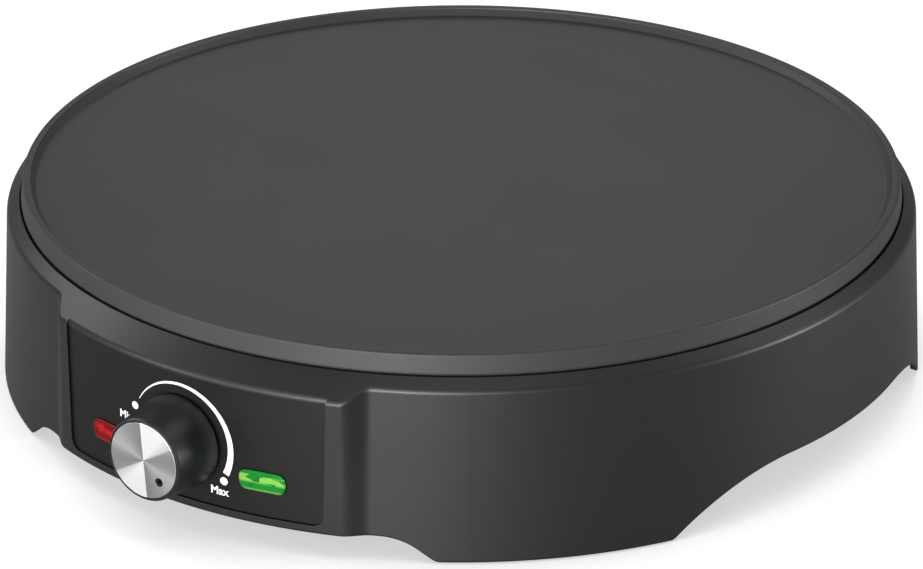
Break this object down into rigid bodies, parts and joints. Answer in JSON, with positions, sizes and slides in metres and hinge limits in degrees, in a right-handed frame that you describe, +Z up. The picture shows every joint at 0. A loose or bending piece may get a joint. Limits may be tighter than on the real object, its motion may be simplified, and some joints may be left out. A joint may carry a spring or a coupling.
{
  "type": "electric crepe maker",
  "caption": "Round electric crepe maker: cast hotplate with a raised rim on a low moulded housing, legs with arches between them, thermostat knob and pilot lamps on a front panel.",
  "frame": {"origin": "on the table under the hotplate's centre", "axes": "+Z up, the control panel faces -Y, +X to the right as seen from the front"},
  "size_m": [0.3134, 0.3381, 0.0706],
  "materials": {
    "coated_plate": "matte dark non-stick coating",
    "housing_plastic": "matte",
    "panel_plastic": "satin",
    "knob_plastic": "satin",
    "cap_aluminium": "spun",
    "red_lens": "clear, faceted",
    "green_lens": "clear, faceted",
    "lamp_glass": "clear",
    "holder_plastic": "matte",
    "element_steel": "heat tinted",
    "ceramic": "matte",
    "spring_steel": "bright",
    "screw_steel": "zinc plated",
    "shield_steel": "aluminised",
    "brass": "satin",
    "bimetal": "dull",
    "rubber": "matte",
    "cover_plastic": "matte",
    "brown_sleeve": "satin",
    "blue_sleeve": "satin",
    "green_sleeve": "satin",
    "white_sleeve": "satin"
  },
  "bodies": {
    "base": {"hotplate": "coated_plate", "heating_element": "element_steel", "element_terminals": "ceramic", "element_straps": "spring_steel", "strap_screws": "screw_steel", "plate_spacers": "ceramic", "plate_screws": "screw_steel", "heat_shield": "shield_steel", "support_ring": "cover_plastic", "thermal_fuse": "ceramic", "fuse_clip": "spring_steel", "housing_front": "housing_plastic", "housing_rear": "housing_plastic", "housing_left": "housing_plastic", "housing_right": "housing_plastic", "leg_front_left": "housing_plastic", "leg_front_right": "housing_plastic", "leg_rear_left": "housing_plastic", "leg_rear_right": "housing_plastic", "fascia": "panel_plastic", "power_lens": "red_lens", "ready_lens": "green_lens", "power_lamp": "lamp_glass", "ready_lamp": "lamp_glass", "power_lamp_holder": "holder_plastic", "ready_lamp_holder": "holder_plastic", "thermostat_bush": "brass", "thermostat_nut": "brass", "thermostat_bracket": "spring_steel", "bracket_screw": "screw_steel", "thermostat_insulators": "ceramic", "contact_blades": "brass", "bimetal_blade": "bimetal", "terminal_block": "holder_plastic", "terminal_screws": "brass", "cord_gland": "rubber", "cord_clamp": "cover_plastic", "cord_clamp_screws": "screw_steel", "base_cover": "cover_plastic", "cover_screws": "screw_steel", "rubber_feet": "rubber", "live_lead": "brown_sleeve", "neutral_lead": "blue_sleeve", "earth_lead": "green_sleeve", "heater_lead": "white_sleeve", "fuse_lead": "white_sleeve", "power_lamp_leads": "white_sleeve", "ready_lamp_leads": "white_sleeve"},
    "knob": {"knob": "knob_plastic", "knob_cap": "cap_aluminium", "knob_spring": "spring_steel", "thermostat_spindle": "screw_steel"},
    "pin": {"adjusting_pin": "ceramic"}
  },
  "joints": [
    {"name": "knob_turn", "type": "hinge", "parent": "base", "child": "knob", "pos_m": [0, -0.16, 0.032], "axis": [0, -1, 0], "range_deg": [0, 205]},
    {"name": "pin_slide", "type": "slide", "parent": "base", "child": "pin", "axis": [0, 1, 0], "range_m": [0, 0.0006]}
  ],
  "couplings": [
    {"joint": "pin_slide", "follows": "knob_turn", "m_per_rad": 0.000159}
  ]
}
